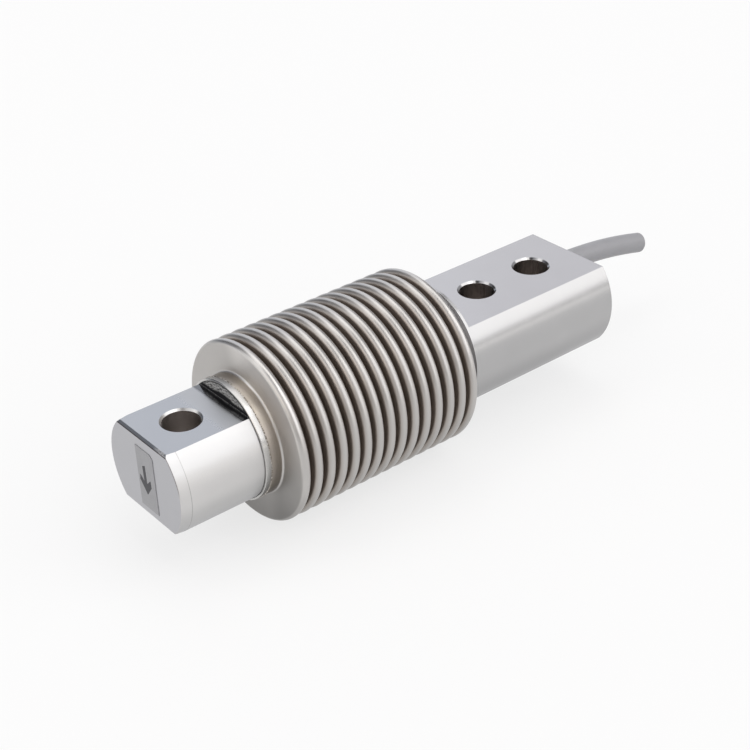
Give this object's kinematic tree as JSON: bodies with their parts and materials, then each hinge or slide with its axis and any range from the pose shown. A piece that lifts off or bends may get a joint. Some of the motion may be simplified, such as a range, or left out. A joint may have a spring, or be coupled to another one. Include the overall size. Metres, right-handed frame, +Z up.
{
  "type": "bellows load cell",
  "caption": "Bending-beam load cell: flatted load lug with a hole, metal bellows over the sealed measuring section, flatted mounting lug with bolt holes, and a short cable end.",
  "frame": {"origin": "centre between the two mounting holes, on the lower flat of the mounting lug, where the cell is bolted down", "axes": "+X along the beam from the mounting lug to the load lug, +Z up from the lower flat to the upper flat and against the load, +Y to the side away from the cable's exit"},
  "size_m": [0.1594, 0.0416, 0.0416],
  "materials": {
    "polished_stainless": "polished",
    "satin_stainless": "satin",
    "grey_foil": "satin",
    "grey_jacket": "matte",
    "gauge_backing": "gloss",
    "circuit_board": "gloss",
    "tinned_brass": "satin",
    "dark_chip": "matte",
    "enamelled_copper": "gloss",
    "blue_insulation": "matte",
    "black_insulation": "matte",
    "white_insulation": "matte",
    "red_insulation": "matte",
    "sealing_compound": "satin",
    "black_rubber": "matte"
  },
  "bodies": {
    "root": {"measuring_beam": "polished_stainless", "bellows": "satin_stainless", "front_weld_ring": "satin_stainless", "rear_weld_ring": "satin_stainless", "load_arrow_label": "grey_foil", "cable": "grey_jacket", "gauge_upper_front": "gauge_backing", "gauge_upper_rear": "gauge_backing", "gauge_lower_front": "gauge_backing", "gauge_lower_rear": "gauge_backing", "terminal_board": "circuit_board", "solder_terminals": "tinned_brass", "compensation_resistors": "dark_chip", "leads_upper_front": "enamelled_copper", "leads_upper_rear": "enamelled_copper", "leads_lower_front": "enamelled_copper", "leads_lower_rear": "enamelled_copper", "core_excitation_plus": "blue_insulation", "core_excitation_minus": "black_insulation", "core_signal_plus": "white_insulation", "core_signal_minus": "red_insulation", "shield_drain": "tinned_brass", "potting_plug": "sealing_compound", "cable_seal": "black_rubber", "seal_washer": "satin_stainless", "gland_screw": "satin_stainless"}
  },
  "joints": []
}
